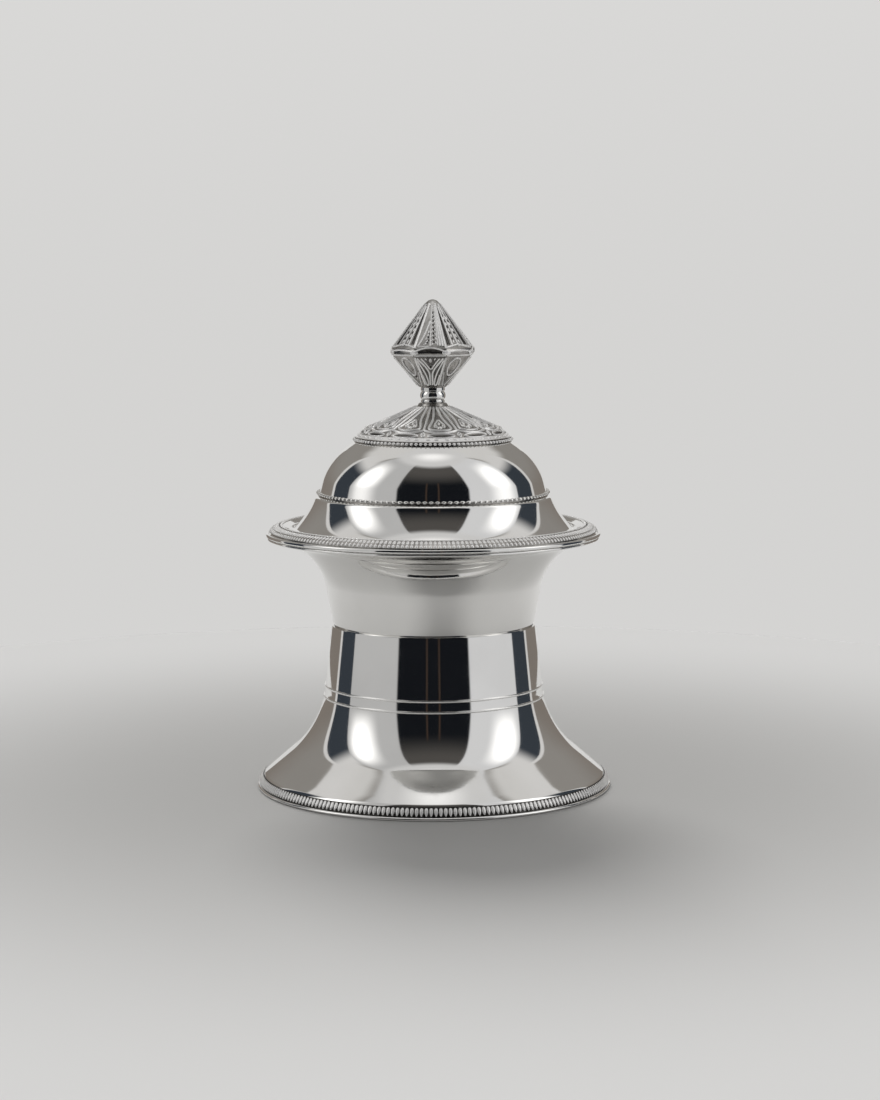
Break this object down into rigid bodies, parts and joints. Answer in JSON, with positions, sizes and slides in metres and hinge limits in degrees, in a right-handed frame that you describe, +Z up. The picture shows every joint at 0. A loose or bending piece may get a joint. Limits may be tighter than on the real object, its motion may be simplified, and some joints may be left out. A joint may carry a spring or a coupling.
{
  "type": "kumkum box",
  "caption": "Footed silver kumkum box: bell-shaped foot with a milled edge, flared cup, and a lift-off domed lid with beaded bands, a petal-relief cone cap and a faceted finial.",
  "frame": {"origin": "middle of the flat ring that the box rests on, on its axis", "axes": "+Z up along the axis, from the foot to the finial; -Y is the front"},
  "size_m": [0.0702, 0.0702, 0.0962],
  "materials": {
    "polished_silver": "mirror-polished silver sheet",
    "relief_silver": "stamped silver, polished on the raised lines and matt in the ground",
    "screw_steel": "plain turned steel"
  },
  "bodies": {
    "base": {"bell_foot": "polished_silver", "foot_lip_ring": "polished_silver", "foot_milled_band": "relief_silver", "cup": "polished_silver"},
    "lid": {"lid_dome": "polished_silver", "lid_edge_wire": "polished_silver", "brim_border": "relief_silver", "lid_bezel": "polished_silver", "dome_bead_band": "polished_silver", "cone_cap": "relief_silver", "cap_bead_band": "polished_silver", "neck_bead": "polished_silver", "finial_base": "relief_silver", "finial_crown": "relief_silver", "finial_screw": "screw_steel", "finial_washer": "screw_steel", "finial_nut": "screw_steel"}
  },
  "joints": [
    {"name": "lid_lift", "type": "slide", "parent": "base", "child": "lid", "axis": [0, 0, 1], "range_m": [0, 0.06]}
  ]
}
